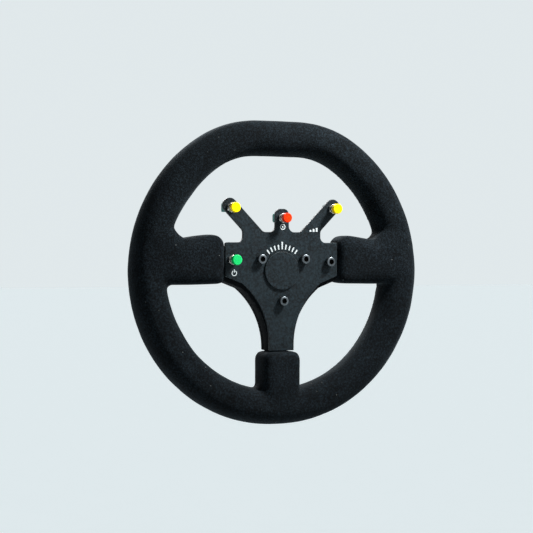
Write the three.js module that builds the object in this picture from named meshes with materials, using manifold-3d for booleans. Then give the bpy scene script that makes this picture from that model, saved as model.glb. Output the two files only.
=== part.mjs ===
// A racing steering wheel with a quick-release hub: a suede grip moulded round a three-spoke frame, a
// button plate on a thin housing, and a splined hub that lets go of the column when its collar is pulled
// towards the driver.
// Millimetres, +Z up. The steering axis is Y and the driver is on the -Y side. The origin is the centre of
// the hub's rear mouth, where the column goes in.
import * as THREE from 'three';
import { mergeVertices } from 'three/addons/utils/BufferGeometryUtils.js';
import Module from 'manifold-3d';

const wasm = await Module();
wasm.setup();

// ---------------------------------------------------------------- driving dimensions
const GAP = 0.3; // running gap between pieces that touch

// The stack along the steering axis, from the column towards the driver
const HUB_LENGTH = 36;
const FRAME_THICK = 5;
const HOUSING_THICK = 9.7;
const PLATE_THICK = 3;
const FRAME_REAR = -HUB_LENGTH - GAP;
const FRAME_FRONT = FRAME_REAR - FRAME_THICK;
const HOUSING_REAR = FRAME_FRONT - GAP;
const HOUSING_FRONT = HOUSING_REAR - HOUSING_THICK;
const PLATE_REAR = HOUSING_FRONT - GAP;
const PLATE_FRONT = PLATE_REAR - PLATE_THICK;

// Rim: a circle whose top is flat and whose bottom is slightly flattened
const RIM_RADIUS = 127.4;
const RIM_LIFT = 1.2; // height of the rim's centre over the hub's axis
const RIM_TOP = 121.6; // height of the flat top's centreline over the rim's centre
const RIM_TOP_BLEND = 89; // radius between the flat top and the circle
const RIM_BOTTOM = 123.5; // depth of the bottom's centreline under the rim's centre
const RIM_BOTTOM_BLEND = 124;
const RIM_PLANE = PLATE_FRONT + 12.4; // the plane of the rim's centreline
const GRIP_HALF_WIDTH = 16.5; // half of the grip's section, in the wheel's plane
const GRIP_HALF_DEPTH = 18.7; // half of the grip's section, along the axis
const GRIP_SQUARENESS = 2.3; // exponent of the section's superellipse, 2 being an ellipse
const GRIP_STEPS = 54;
const GRIP_SIDES = 12;
const CORE_HALF_WIDTH = 8; // half width of the frame's ring inside the grip

// Frame spokes, inside the pads
const SPOKE_TOP = 24.5;
const SPOKE_BOTTOM = -3;
const SPOKE_REACH = 122; // half length of the bar that makes both side spokes
const LOWER_SPOKE_HALF = 9;
const LOWER_SPOKE_END = -116;

// Pads on the spokes
const PAD_FRONT = PLATE_FRONT - 6;
const PAD_REAR = PLATE_FRONT + 24.4;
const PAD_BEVEL = 4;
const SIDE_PAD = { inner: 57.1, outer: 119.5, top: 33.8, bottom: -10.2, innerRound: 12, edgeRound: 5 };
const LOWER_PAD = { half: 18.5, top: -71, bottom: -116, round: 6.5 };

// Middle of the wheel, seen from the front
const SHOULDER_HALF = 56.8;
const SHOULDER_TOP = 27.8;
const BODY_TOP = 24.5; // top of the housing behind the plate
const LEG_HALF = 12.2; // half width of the lower leg
const LEG_END = -70.6;
const LEG_ROUND = 0.5;
// Lower edge of the plate, and of the housing and frame behind it, which stand out below it: the height at
// the shoulder, the waist where the edge turns down, and the corner and radius of the leg's hollow side
const PLATE_EDGE = { shoulder: -3, waist: [40, -9.2, 6], corner: -33, curve: 70 };
const BODY_EDGE = { shoulder: -7.2, waist: [39.5, -13.8, 7], corner: -37, curve: 70 };
const ARM_TIP = { x: 52.3, z: 61, half: 6.8 }; // centre of the round end of a slanting arm
const ARM_ROUND = ARM_TIP.half - 0.05; // a little less than half, which leaves a short flat at the end
const MIDDLE_ARM = { half: 6.8, top: 58.5, round: 5.4 };
const CROTCH = { z: 37.3, x: 19, round: 5.5 }; // the gaps on both sides of the middle arm
const NOTCH = { x: 39.3, round: 5.2 }; // the gaps between the slanting arms and the shoulders

// Pockets in the housing, and the frame's window for the side switch's wires
const POCKETS = [
  { left: -55.4, right: -30, bottom: 2, top: 21 },
  { left: 30, right: 42, bottom: 2, top: 21 },
  { left: -6, right: 6, bottom: -62, top: -34 },
];
const POCKET_ROUND = 3;
const WIRE_WINDOW = { left: -55.5, right: -43, bottom: 7, top: 17, round: 2 };

// Bolts
const BOLT_CIRCLE = 25.4; // radius of the hub's three-bolt circle
const BOLT_HOLE = 2.75;
const BOLT_SHANK = 2.4;
const BOLT_HEAD = { radius: 4.25, height: 5, chamfer: 0.45, hex: 2.35, hexDepth: 2.8, tip: 0.6 };
const BOLT_SET_BACK = 1; // how far a hub bolt's end is inside the flange's rear face
const SIDE_SCREW = { x: 48.2, z: 10.2, length: 11 };
const CENTRE_HOLE = 12;
const PLATE_HOLE = 10.4;
const CAP = { x: -0.6, z: 2.2, radius: 17.25, thick: 1.5, chamfer: 0.4, peg: 6.8, pegLength: 3 };

// Push-button switches; depths are from the plate's front face, rearward positive
const SWITCHES = [
  { name: 'left_arm', x: -51.6, z: 59, colour: 0xffe000 },
  { name: 'right_arm', x: 51.6, z: 59, colour: 0xffe000 },
  { name: 'middle_arm', x: 0, z: 50.2, colour: 0xf04a14 },
  { name: 'side', x: -50, z: 12, colour: 0x18d070 },
];
const BUTTON = { radius: 4.6, front: -11.4, rear: -7, socket: -9.5, chamfer: 0.5 };
const PLUNGER = {
  radius: 2, front: -9.2, flange: 2.8, flangeFront: 3.3, flangeRear: 4.3, tail: 1.4, rear: 7.5,
};
const BUSHING = { radius: 3, shoulder: 3.6, shoulderRear: -3.2, front: -4.9, bore: 2.35 };
const NUT = { radius: 4.62, front: -2.7, bore: 3.3 };
const SWITCH_HOLE = 3.3;
const SWITCH_BODY = { width: 10, height: 8, front: 3.3, rear: 12, bore: 3.1, boreEnd: 11 };
const LUG = { x: 2.5, wide: 0.8, high: 2, long: 2.4, root: 1 }; // root is the part inside the body
const SWITCH_SPRING = { radius: 2.2, wire: 0.28, front: 4.9, rear: 10.4, turns: 4 };

// Quick-release hub
const FLANGE = { radius: 32, thick: 5, chamfer: 0.8 };
const BARREL = { radius: 15.5, bore: 12.2, lip: 0.9, groove: 1.6, grooveRadius: 14.4 };
const BALL = { count: 6, radius: 3, circle: 13, y: -9, hole: 3.35, holeLength: 8, holeCircle: 14 };
const COLLAR = { front: -24, rear: -2.5, radius: 20.3, lip: 22.8, lipWidth: 3, chamfer: 0.6, bore: 15.8 };
const FLUTE = { count: 12, radius: 1.6, circle: COLLAR.radius + 0.6, afterLip: 1.5 }; // finger grooves
const COLLAR_POCKET = { radius: 18.5, end: -14 };
const RAMP_SLOPE = 1.6 / 6; // outward travel of a ball for the collar's travel
const SLEEVE = {
  front: -28.7, rear: -13.5, radius: 11.9, root: 10.8, tip: 9.6, splines: 16,
  tipEnd: 0.35, rootStart: 0.5, rootEnd: 0.85, // shares of a spline's pitch, which starts where its tip does
};
const INSERT = {
  front: -35.7, rear: -29.2, radius: 11.9,
  pins: 6, pinCircle: 6, pinRadius: 0.8, pinSet: 1, pinRear: -25, // pinSet is how far in a pin starts
};
const COLLAR_SPRING = { radius: 17, wire: 0.7, turns: 5 };
const RING = { outer: 18.9, inner: 14.75, thick: 1, mouth: 0.35 };

// ---------------------------------------------------------------- geometry helpers

// Joins equal points, drops collapsed triangles and turns the faces outward.
function closed(geometry) {
  geometry.deleteAttribute('normal');
  geometry.deleteAttribute('uv');
  const merged = mergeVertices(geometry, 1e-4);
  const corners = [...merged.index.array];
  const kept = [];
  for (let i = 0; i < corners.length; i += 3) {
    const [a, b, c] = corners.slice(i, i + 3);
    if (a !== b && b !== c && c !== a) kept.push(a, b, c);
  }
  if (volume(merged.attributes.position, kept) < 0) kept.reverse();
  merged.setIndex(kept);
  return merged;
}

function volume(position, corners) {
  const [a, b, c] = [new THREE.Vector3(), new THREE.Vector3(), new THREE.Vector3()];
  let sum = 0;
  for (let i = 0; i < corners.length; i += 3) {
    a.fromBufferAttribute(position, corners[i]);
    b.fromBufferAttribute(position, corners[i + 1]);
    c.fromBufferAttribute(position, corners[i + 2]);
    sum += a.dot(b.cross(c)) / 6;
  }
  return sum;
}

function toSolid(geometry) {
  const whole = closed(geometry);
  const mesh = new wasm.Mesh({
    numProp: 3,
    vertProperties: new Float32Array(whole.attributes.position.array),
    triVerts: new Uint32Array(whole.index.array),
  });
  return new wasm.Manifold(mesh);
}

function toGeometry(solid) {
  const mesh = solid.getMesh();
  const geometry = new THREE.BufferGeometry();
  geometry.setAttribute('position', new THREE.BufferAttribute(mesh.vertProperties, 3));
  geometry.setIndex(new THREE.BufferAttribute(mesh.triVerts, 1));
  return geometry;
}

function cut(base, ...tools) {
  return toGeometry(tools.reduce((left, tool) => left.subtract(toSolid(tool)), toSolid(base)));
}

function join(first, ...others) {
  return toGeometry(others.reduce((whole, other) => whole.add(toSolid(other)), toSolid(first)));
}

// A front-view outline given as corners [x, z, radius], each rounded by its radius.
function outline(corners) {
  const shape = new THREE.Shape();
  corners.forEach(([x, z, radius = 0], i) => {
    const corner = new THREE.Vector2(x, z);
    const last = corners.at(i - 1);
    const next = corners[(i + 1) % corners.length];
    const back = new THREE.Vector2(last[0], last[1]).sub(corner).normalize();
    const ahead = new THREE.Vector2(next[0], next[1]).sub(corner).normalize();
    const half = Math.acos(THREE.MathUtils.clamp(back.dot(ahead), -1, 1)) / 2;
    const centre = back.clone().add(ahead).normalize().multiplyScalar(radius / Math.sin(half)).add(corner);
    if (radius > 0) {
      const start = back.clone().multiplyScalar(radius / Math.tan(half)).add(corner);
      const end = ahead.clone().multiplyScalar(radius / Math.tan(half)).add(corner);
      const clockwise = back.cross(ahead) > 0;
      shape.absarc(centre.x, centre.y, radius, start.sub(centre).angle(), end.sub(centre).angle(), clockwise);
    } else if (i === 0) shape.moveTo(x, z);
    else shape.lineTo(x, z);
  });
  shape.closePath();
  return shape;
}

// Completes a right-hand half outline, listed from the top down, with its mirror image. The result runs
// anticlockwise.
function mirrored(right) {
  const left = right.map(([x, z, radius]) => [-x, z, radius]);
  return [...left, ...right.reverse()];
}

function rectangle(left, right, bottom, top, radius = 0) {
  const corners = [[left, bottom], [right, bottom], [right, top], [left, top]];
  return outline(corners.map(([x, z]) => [x, z, radius]));
}

function drill(shape, holes) {
  for (const [x, z, radius] of holes) {
    shape.holes.push(new THREE.Path().absarc(x, z, radius, 0, 2 * Math.PI, true));
  }
  return shape;
}

// Front-view shape made into a slab between two places on the axis.
function slab(shape, front, rear, bevel = 0, curveSegments = 4) {
  const geometry = new THREE.ExtrudeGeometry(shape, {
    depth: rear - front - 2 * bevel,
    curveSegments,
    bevelEnabled: bevel > 0,
    bevelThickness: bevel,
    bevelSize: bevel,
    bevelOffset: -bevel,
    bevelSegments: 2,
  });
  return geometry.rotateX(Math.PI / 2).translate(0, rear - bevel, 0);
}

// A turned piece: profile points are [radius, y], round the steering axis.
function turned(profile, segments = 24) {
  return new THREE.LatheGeometry(profile.map(([radius, y]) => new THREE.Vector2(radius, y)), segments);
}

function turnedRing(profile, segments) {
  return turned([...profile, profile[0]], segments);
}

function rod(radius, front, rear, sides = 16, x = 0, z = 0) {
  return new THREE.CylinderGeometry(radius, radius, rear - front, sides).translate(x, (front + rear) / 2, z);
}

class Helix extends THREE.Curve {
  constructor(radius, front, rear, turns) {
    super();
    Object.assign(this, { radius, front, rear, turns });
  }

  getPoint(t, target = new THREE.Vector3()) {
    const angle = 2 * Math.PI * this.turns * t;
    const y = THREE.MathUtils.lerp(this.front, this.rear, t);
    return target.set(this.radius * Math.cos(angle), y, this.radius * Math.sin(angle));
  }
}

function coil({ radius, wire, turns }, front, rear, sides, stepsPerTurn) {
  const section = new THREE.Shape(new THREE.EllipseCurve(0, 0, wire, wire).getPoints(sides).slice(0, sides));
  const path = new Helix(radius, front, rear, turns);
  return new THREE.ExtrudeGeometry(section, { steps: turns * stepsPerTurn, extrudePath: path });
}

// ---------------------------------------------------------------- rim and frame

// The rim's centreline, moved outward by offset: six arcs joined by the two flats.
function rimOutline(offset = 0) {
  const topZ = RIM_TOP - RIM_TOP_BLEND;
  const topX = Math.sqrt((RIM_RADIUS - RIM_TOP_BLEND) ** 2 - topZ ** 2);
  const top = Math.atan2(topZ, topX);
  const bottomZ = RIM_BOTTOM_BLEND - RIM_BOTTOM;
  const bottomX = Math.sqrt((RIM_RADIUS - RIM_BOTTOM_BLEND) ** 2 - bottomZ ** 2);
  const bottom = Math.atan2(bottomZ, bottomX);
  const shape = new THREE.Shape();
  const arc = (x, z, radius, start, end) => shape.absarc(x, z + RIM_LIFT, radius + offset, start, end);
  arc(0, 0, RIM_RADIUS, bottom, top);
  arc(topX, topZ, RIM_TOP_BLEND, top, Math.PI / 2);
  arc(-topX, topZ, RIM_TOP_BLEND, Math.PI / 2, Math.PI - top);
  arc(0, 0, RIM_RADIUS, Math.PI - top, Math.PI - bottom);
  arc(-bottomX, bottomZ, RIM_BOTTOM_BLEND, Math.PI - bottom, 1.5 * Math.PI);
  arc(bottomX, bottomZ, RIM_BOTTOM_BLEND, 1.5 * Math.PI, 2 * Math.PI + bottom);
  shape.closePath();
  return shape;
}

// The grip's outer surface: a torus whose points are moved onto the rim's line and section.
function gripSolid(grow = 0) {
  const geometry = new THREE.TorusGeometry(RIM_RADIUS, GRIP_HALF_WIDTH, GRIP_SIDES, GRIP_STEPS);
  const line = rimOutline();
  const soften = (value) => Math.sign(value) * Math.abs(value) ** (2 / GRIP_SQUARENESS);
  const position = geometry.attributes.position;
  for (let k = 0; k < position.count; k++) {
    const along = (k % (GRIP_STEPS + 1)) / GRIP_STEPS;
    const round = (2 * Math.PI * Math.floor(k / (GRIP_STEPS + 1))) / GRIP_SIDES;
    const point = line.getPointAt(along % 1);
    const tangent = line.getTangentAt(along % 1);
    const out = (GRIP_HALF_WIDTH + grow) * soften(Math.cos(round));
    const y = RIM_PLANE + (GRIP_HALF_DEPTH + grow) * soften(Math.sin(round));
    position.setXYZ(k, point.x + out * tangent.y, y, point.y - out * tangent.x);
  }
  return geometry;
}

// The middle of the wheel below the arms: the shoulders and the leg down to the lower pad.
function lowerEdge({ shoulder, waist, corner, curve }) {
  return [
    [SHOULDER_HALF, shoulder, 1],
    waist,
    [LEG_HALF, corner, curve],
    [LEG_HALF, LEG_END, LEG_ROUND],
  ];
}

function bodyOutline() {
  return outline(mirrored([[SHOULDER_HALF, BODY_TOP, 2], ...lowerEdge(BODY_EDGE)]));
}

function plateOutline() {
  const end = ARM_TIP.half * Math.SQRT2;
  const slant = ARM_TIP.x - ARM_TIP.z + end; // x minus z on the arm's lower edge
  const right = [
    [MIDDLE_ARM.half, MIDDLE_ARM.top, MIDDLE_ARM.round],
    [MIDDLE_ARM.half, CROTCH.z, CROTCH.round],
    [CROTCH.x, CROTCH.z, CROTCH.round],
    [ARM_TIP.x, ARM_TIP.z + end, ARM_ROUND],
    [ARM_TIP.x + end, ARM_TIP.z, ARM_ROUND],
    [NOTCH.x, NOTCH.x - slant, NOTCH.round],
    [NOTCH.x, SHOULDER_TOP, NOTCH.round],
    [SHOULDER_HALF, SHOULDER_TOP, 1.5],
    ...lowerEdge(PLATE_EDGE),
  ];
  return outline(mirrored(right));
}

const boltPlaces = [150, 30, 270].map((degrees) => {
  const angle = THREE.MathUtils.degToRad(degrees);
  return [BOLT_CIRCLE * Math.cos(angle), BOLT_CIRCLE * Math.sin(angle)];
});

function boltHoles() {
  return boltPlaces.map(([x, z]) => [x, z, BOLT_HOLE]);
}

// Ring and spokes of the frame as loose slabs; grow leaves clearance round them in the soft pieces.
function frameSlabs(grow = 0) {
  const ring = rimOutline(CORE_HALF_WIDTH + grow);
  ring.holes.push(rimOutline(-CORE_HALF_WIDTH - grow));
  const bar = rectangle(-SPOKE_REACH, SPOKE_REACH, SPOKE_BOTTOM - grow, SPOKE_TOP + grow);
  const leg = rectangle(-LOWER_SPOKE_HALF - grow, LOWER_SPOKE_HALF + grow, LOWER_SPOKE_END, BODY_EDGE.corner);
  return [ring, bar, leg].map((shape) => slab(shape, FRAME_FRONT - grow, FRAME_REAR + grow, 0, 5));
}

function spokeFrame() {
  const whole = join(slab(bodyOutline(), FRAME_FRONT, FRAME_REAR), ...frameSlabs());
  const holes = boltPlaces.map(([x, z]) => rod(BOLT_HOLE, FRAME_FRONT - 1, FRAME_REAR + 1, 10, x, z));
  const middle = rod(CENTRE_HOLE, FRAME_FRONT - 1, FRAME_REAR + 1, 16);
  const { left, right, bottom, top, round } = WIRE_WINDOW;
  const window = slab(rectangle(left, right, bottom, top, round), FRAME_FRONT - 1, FRAME_REAR + 1, 0, 2);
  return cut(whole, middle, window, ...holes);
}

function rimGrip() {
  return cut(gripSolid(), ...frameSlabs(GAP));
}

function sidePad(side) {
  const { inner, outer, top, bottom, innerRound, edgeRound } = SIDE_PAD;
  const corners = [[inner, top, innerRound], [outer, top], [outer, bottom], [inner, bottom, edgeRound]];
  const shape = outline(corners.map(([x, z, radius]) => [side * x, z, radius]));
  return cut(slab(shape, PAD_FRONT, PAD_REAR, PAD_BEVEL, 3), gripSolid(GAP), frameSlabs(GAP)[1]);
}

function lowerPad() {
  const { half, top, bottom, round } = LOWER_PAD;
  const shape = outline([[-half, top, round], [half, top, round], [half, bottom], [-half, bottom]]);
  return cut(slab(shape, PAD_FRONT, PAD_REAR, PAD_BEVEL, 3), gripSolid(GAP), frameSlabs(GAP)[2]);
}

// ---------------------------------------------------------------- plate, housing, cap and bolts

function frontPlate() {
  const switchHoles = SWITCHES.map(({ x, z }) => [x, z, SWITCH_HOLE]);
  const screwHole = [SIDE_SCREW.x, SIDE_SCREW.z, BOLT_HOLE];
  const shape = drill(plateOutline(), [...boltHoles(), ...switchHoles, screwHole, [0, 0, PLATE_HOLE]]);
  return slab(shape, PLATE_FRONT, PLATE_REAR);
}

// A tray with pockets through it, closed by the plate in front and the frame behind.
function switchHousing() {
  const screwHole = [SIDE_SCREW.x, SIDE_SCREW.z, BOLT_HOLE];
  const shape = drill(bodyOutline(), [...boltHoles(), screwHole, [0, 0, CENTRE_HOLE]]);
  for (const { left, right, bottom, top } of POCKETS) {
    shape.holes.push(rectangle(left, right, bottom, top, POCKET_ROUND));
  }
  return slab(shape, HOUSING_FRONT, HOUSING_REAR);
}

function centreCap() {
  const rear = PLATE_FRONT - GAP;
  const front = rear - CAP.thick;
  return turned([
    [0, front],
    [CAP.radius - CAP.chamfer, front],
    [CAP.radius, front + CAP.chamfer],
    [CAP.radius, rear],
    [CAP.peg, rear],
    [CAP.peg, rear + CAP.pegLength],
    [0, rear + CAP.pegLength],
  ], 28);
}

// A socket-head cap screw; its head's underside is at y = 0 and its shank points rearward.
function capScrew(length) {
  const { radius, height, chamfer, hex, hexDepth, tip } = BOLT_HEAD;
  const screw = turned([
    [0, -height],
    [radius - chamfer, -height],
    [radius, -height + chamfer],
    [radius, 0],
    [BOLT_SHANK, 0],
    [BOLT_SHANK, length - tip],
    [BOLT_SHANK - tip, length],
    [0, length],
  ], 12);
  return cut(screw, rod(hex, -height - 1, -height + hexDepth, 6));
}

// ---------------------------------------------------------------- push-button switch, at the plate's face

function buttonCap() {
  const { radius, front, rear, socket, chamfer } = BUTTON;
  const bore = PLUNGER.radius + GAP;
  return turned([
    [0, front],
    [radius - chamfer, front],
    [radius, front + chamfer],
    [radius, rear],
    [bore, rear],
    [bore, socket],
    [0, socket],
  ], 14);
}

function plunger() {
  const { radius, front, flange, flangeFront, flangeRear, tail, rear } = PLUNGER;
  return turned([
    [0, front],
    [radius, front],
    [radius, flangeFront],
    [flange, flangeFront],
    [flange, flangeRear],
    [tail, flangeRear],
    [tail, rear],
    [0, rear],
  ], 10);
}

function bushing() {
  const { radius, shoulder, shoulderRear, front, bore } = BUSHING;
  return turnedRing([
    [bore, front],
    [shoulder, front],
    [shoulder, shoulderRear],
    [radius, shoulderRear],
    [radius, PLATE_THICK],
    [bore, PLATE_THICK],
  ], 12);
}

function hexNut() {
  return cut(rod(NUT.radius, NUT.front, -GAP, 6), rod(NUT.bore, NUT.front - 1, 1, 12));
}

function switchBody() {
  const { width, height, front, rear, bore, boreEnd } = SWITCH_BODY;
  const box = new THREE.BoxGeometry(width, rear - front, height).translate(0, (front + rear) / 2, 0);
  const lugs = [-LUG.x, LUG.x].map((x) => {
    const lug = new THREE.BoxGeometry(LUG.wide, LUG.long + LUG.root, LUG.high);
    return lug.translate(x, rear + (LUG.long - LUG.root) / 2, 0);
  });
  return cut(join(box, ...lugs), rod(bore, front - 1, boreEnd, 12));
}

function addSwitch(parent, { name, x, z, colour }) {
  const group = new THREE.Group();
  group.position.set(x, PLATE_FRONT, z);
  const button = paint(colour, 0.35, 0);
  piece(group, `${name}_button_cap`, buttonCap(), button);
  piece(group, `${name}_plunger`, plunger(), nickel);
  piece(group, `${name}_bushing`, bushing(), nickel);
  piece(group, `${name}_nut`, hexNut(), nickel);
  piece(group, `${name}_switch_body`, switchBody(), tealPlastic);
  const { front, rear } = SWITCH_SPRING;
  piece(group, `${name}_return_spring`, coil(SWITCH_SPRING, front, rear, 4, 6), springSteel);
  parent.add(group);
}

// ---------------------------------------------------------------- quick-release hub

// The flanged barrel that bolts to the frame, with holes for the balls and a groove for the ring.
function hubFlange() {
  const { radius, bore, lip, groove, grooveRadius } = BARREL;
  const flangeRear = -HUB_LENGTH + FLANGE.thick;
  const body = turnedRing([
    [bore, -HUB_LENGTH],
    [FLANGE.radius, -HUB_LENGTH],
    [FLANGE.radius, flangeRear - FLANGE.chamfer],
    [FLANGE.radius - FLANGE.chamfer, flangeRear],
    [radius, flangeRear],
    [radius, -lip - groove],
    [grooveRadius, -lip - groove],
    [grooveRadius, -lip],
    [radius, -lip],
    [radius, 0],
    [bore, 0],
  ], 24);
  const bolts = boltPlaces.map(([x, z]) => rod(BOLT_HOLE, -HUB_LENGTH - 1, flangeRear + 1, 10, x, z));
  return cut(body, ...bolts, ...ballAngles.map(ballHole));
}

const ballAngles = Array.from({ length: BALL.count }, (_, i) => (2 * Math.PI * i) / BALL.count);

function ballHole(angle) {
  const hole = new THREE.CylinderGeometry(BALL.hole, BALL.hole, BALL.holeLength, 10).rotateZ(-Math.PI / 2);
  return hole.translate(BALL.holeCircle, BALL.y, 0).rotateY(angle);
}

function lockBall(angle) {
  return new THREE.SphereGeometry(BALL.radius, 10, 6).translate(BALL.circle, BALL.y, 0).rotateY(angle);
}

// The collar holds the balls in through the narrow end of an inner ramp that opens rearward.
function releaseCollar() {
  const { front, rear, radius, lip, lipWidth, chamfer, bore } = COLLAR;
  const tilt = Math.atan(RAMP_SLOPE);
  const touch = BALL.radius + GAP;
  const touchY = BALL.y - touch * Math.sin(tilt);
  const touchRadius = BALL.circle + touch * Math.cos(tilt);
  const rampRadius = (y) => touchRadius + RAMP_SLOPE * (y - touchY);
  const rampStart = touchY + (bore - touchRadius) / RAMP_SLOPE;
  const blank = turnedRing([
    [COLLAR_POCKET.radius, front],
    [lip - chamfer, front],
    [lip, front + chamfer],
    [lip, front + lipWidth],
    [radius, front + lipWidth],
    [radius, rear - chamfer],
    [radius - chamfer, rear],
    [rampRadius(rear), rear],
    [bore, rampStart],
    [bore, COLLAR_POCKET.end],
    [COLLAR_POCKET.radius, COLLAR_POCKET.end],
  ], 24);
  const grooves = Array.from({ length: FLUTE.count }, (_, i) => {
    const flute = rod(FLUTE.radius, front + lipWidth + FLUTE.afterLip, rear + 1, 6, FLUTE.circle);
    return flute.rotateY((2 * Math.PI * i) / FLUTE.count);
  });
  return cut(blank, ...grooves);
}

function splineSleeve() {
  const { radius, root, tip, splines, tipEnd, rootStart, rootEnd } = SLEEVE;
  const shape = new THREE.Shape().absarc(0, 0, radius, 0, 2 * Math.PI);
  const points = [];
  for (let i = 0; i < splines; i++) {
    for (const [reach, share] of [[tip, 0], [tip, tipEnd], [root, rootStart], [root, rootEnd]]) {
      const angle = (2 * Math.PI * (i + share)) / splines;
      points.push(new THREE.Vector2(reach * Math.cos(angle), reach * Math.sin(angle)));
    }
  }
  shape.holes.push(new THREE.Path(points));
  return slab(shape, SLEEVE.front, SLEEVE.rear, 0, 12);
}

const pinPlaces = Array.from({ length: INSERT.pins }, (_, i) => {
  const angle = (2 * Math.PI * (i + 0.5)) / INSERT.pins;
  return [INSERT.pinCircle * Math.cos(angle), INSERT.pinCircle * Math.sin(angle)];
});

function connectorInsert() {
  const shape = new THREE.Shape().absarc(0, 0, INSERT.radius, 0, 2 * Math.PI);
  const pinHoles = pinPlaces.map(([x, z]) => [x, z, INSERT.pinRadius + GAP]);
  return slab(drill(shape, pinHoles), INSERT.front, INSERT.rear);
}

// An open spring ring in the barrel's groove, which stops the collar.
function retainingRing() {
  const rear = -BARREL.lip - GAP;
  const shape = new THREE.Shape();
  shape.absarc(0, 0, RING.outer, RING.mouth, 2 * Math.PI - RING.mouth);
  shape.absarc(0, 0, RING.inner, 2 * Math.PI - RING.mouth, RING.mouth, true);
  shape.closePath();
  return slab(shape, rear - RING.thick, rear, 0, 10);
}

// ---------------------------------------------------------------- assembly

function paint(color, roughness, metalness) {
  return new THREE.MeshStandardMaterial({ color, roughness, metalness });
}

const suede = paint(0x17181a, 0.95, 0);
const blackAnodised = paint(0x2b3033, 0.55, 0.4);
const blackHousing = paint(0x101214, 0.6, 0.2);
const aluminium = paint(0x8f9396, 0.4, 0.9);
const blackSteel = paint(0x1c1d1f, 0.4, 0.8);
const springSteel = paint(0x9a9c9f, 0.35, 0.9);
const nickel = paint(0xc8c6c0, 0.25, 1);
const gold = paint(0xd9b45a, 0.3, 1);
const tealPlastic = paint(0x4a9488, 0.5, 0);
const insertPlastic = paint(0x2a2a2c, 0.6, 0);

function piece(parent, name, geometry, material) {
  const mesh = new THREE.Mesh(closed(geometry), material);
  mesh.name = name;
  parent.add(mesh);
  return mesh;
}

const wheel = new THREE.Group();

piece(wheel, 'spoke_frame', spokeFrame(), blackHousing);
piece(wheel, 'rim_grip', rimGrip(), suede);
piece(wheel, 'left_spoke_pad', sidePad(-1), suede);
piece(wheel, 'right_spoke_pad', sidePad(1), suede);
piece(wheel, 'lower_spoke_pad', lowerPad(), suede);

piece(wheel, 'front_plate', frontPlate(), blackAnodised);
piece(wheel, 'switch_housing', switchHousing(), blackHousing);
piece(wheel, 'centre_cap', centreCap(), blackAnodised).position.set(CAP.x, 0, CAP.z);

const headSeat = PLATE_FRONT - GAP;
const hubBoltLength = -HUB_LENGTH + FLANGE.thick - BOLT_SET_BACK - headSeat;
['left', 'right', 'lower'].forEach((side, i) => {
  const [x, z] = boltPlaces[i];
  piece(wheel, `${side}_hub_bolt`, capScrew(hubBoltLength), blackSteel).position.set(x, headSeat, z);
});
const sideScrew = piece(wheel, 'plate_screw', capScrew(SIDE_SCREW.length), blackSteel);
sideScrew.position.set(SIDE_SCREW.x, headSeat, SIDE_SCREW.z);

SWITCHES.forEach((place) => addSwitch(wheel, place));

piece(wheel, 'hub_flange', hubFlange(), aluminium);
piece(wheel, 'spline_sleeve', splineSleeve(), springSteel);
piece(wheel, 'release_collar', releaseCollar(), blackAnodised);
const springFront = -HUB_LENGTH + FLANGE.thick + COLLAR_SPRING.wire + GAP;
const springRear = COLLAR_POCKET.end - COLLAR_SPRING.wire - GAP;
piece(wheel, 'collar_spring', coil(COLLAR_SPRING, springFront, springRear, 5, 10), springSteel);
piece(wheel, 'retaining_ring', retainingRing(), springSteel);
ballAngles.forEach((angle, i) => piece(wheel, `lock_ball_${i + 1}`, lockBall(angle), springSteel));
piece(wheel, 'connector_insert', connectorInsert(), insertPlastic);
const { pinRadius, front, pinSet, pinRear } = INSERT;
pinPlaces.forEach(([x, z], i) => {
  piece(wheel, `contact_pin_${i + 1}`, rod(pinRadius, front + pinSet, pinRear, 8, x, z), gold);
});

export default wheel;
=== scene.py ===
import math

import bmesh
import bpy
import numpy as np
from mathutils import Matrix, Quaternion, Vector
from mathutils.bvhtree import BVHTree


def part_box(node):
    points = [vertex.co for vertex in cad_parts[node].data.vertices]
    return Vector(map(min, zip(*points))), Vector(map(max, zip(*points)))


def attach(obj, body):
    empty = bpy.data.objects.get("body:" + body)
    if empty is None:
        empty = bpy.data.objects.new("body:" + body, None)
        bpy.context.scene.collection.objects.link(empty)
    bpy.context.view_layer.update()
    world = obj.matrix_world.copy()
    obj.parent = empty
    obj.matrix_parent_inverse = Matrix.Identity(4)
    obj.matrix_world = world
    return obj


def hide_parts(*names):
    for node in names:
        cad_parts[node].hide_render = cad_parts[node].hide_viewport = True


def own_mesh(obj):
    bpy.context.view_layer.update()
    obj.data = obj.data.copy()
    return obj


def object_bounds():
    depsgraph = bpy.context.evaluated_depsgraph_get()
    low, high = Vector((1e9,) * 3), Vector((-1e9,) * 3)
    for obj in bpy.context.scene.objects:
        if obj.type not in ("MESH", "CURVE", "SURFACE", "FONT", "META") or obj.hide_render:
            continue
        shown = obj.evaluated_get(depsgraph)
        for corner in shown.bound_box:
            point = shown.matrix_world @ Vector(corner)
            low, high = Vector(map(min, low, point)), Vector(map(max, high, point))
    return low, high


# A racing steering wheel: suede grip, button plate on a housing, four push buttons and a quick-release hub.
# Lengths in this script are millimetres, turned into metres where an object is made. The driver is at -Y.

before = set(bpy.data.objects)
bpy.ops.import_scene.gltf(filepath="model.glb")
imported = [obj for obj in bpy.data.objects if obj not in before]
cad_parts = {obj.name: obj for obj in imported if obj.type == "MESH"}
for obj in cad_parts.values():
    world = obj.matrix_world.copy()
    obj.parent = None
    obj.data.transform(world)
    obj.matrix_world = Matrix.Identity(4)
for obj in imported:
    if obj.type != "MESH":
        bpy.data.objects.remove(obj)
CAD_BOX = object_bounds()  # in metres
MM = 0.001


def low(node):
    return np.array(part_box(node)[0]) / MM


def high(node):
    return np.array(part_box(node)[1]) / MM


def middle(node):
    return (low(node) + high(node)) / 2


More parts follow.
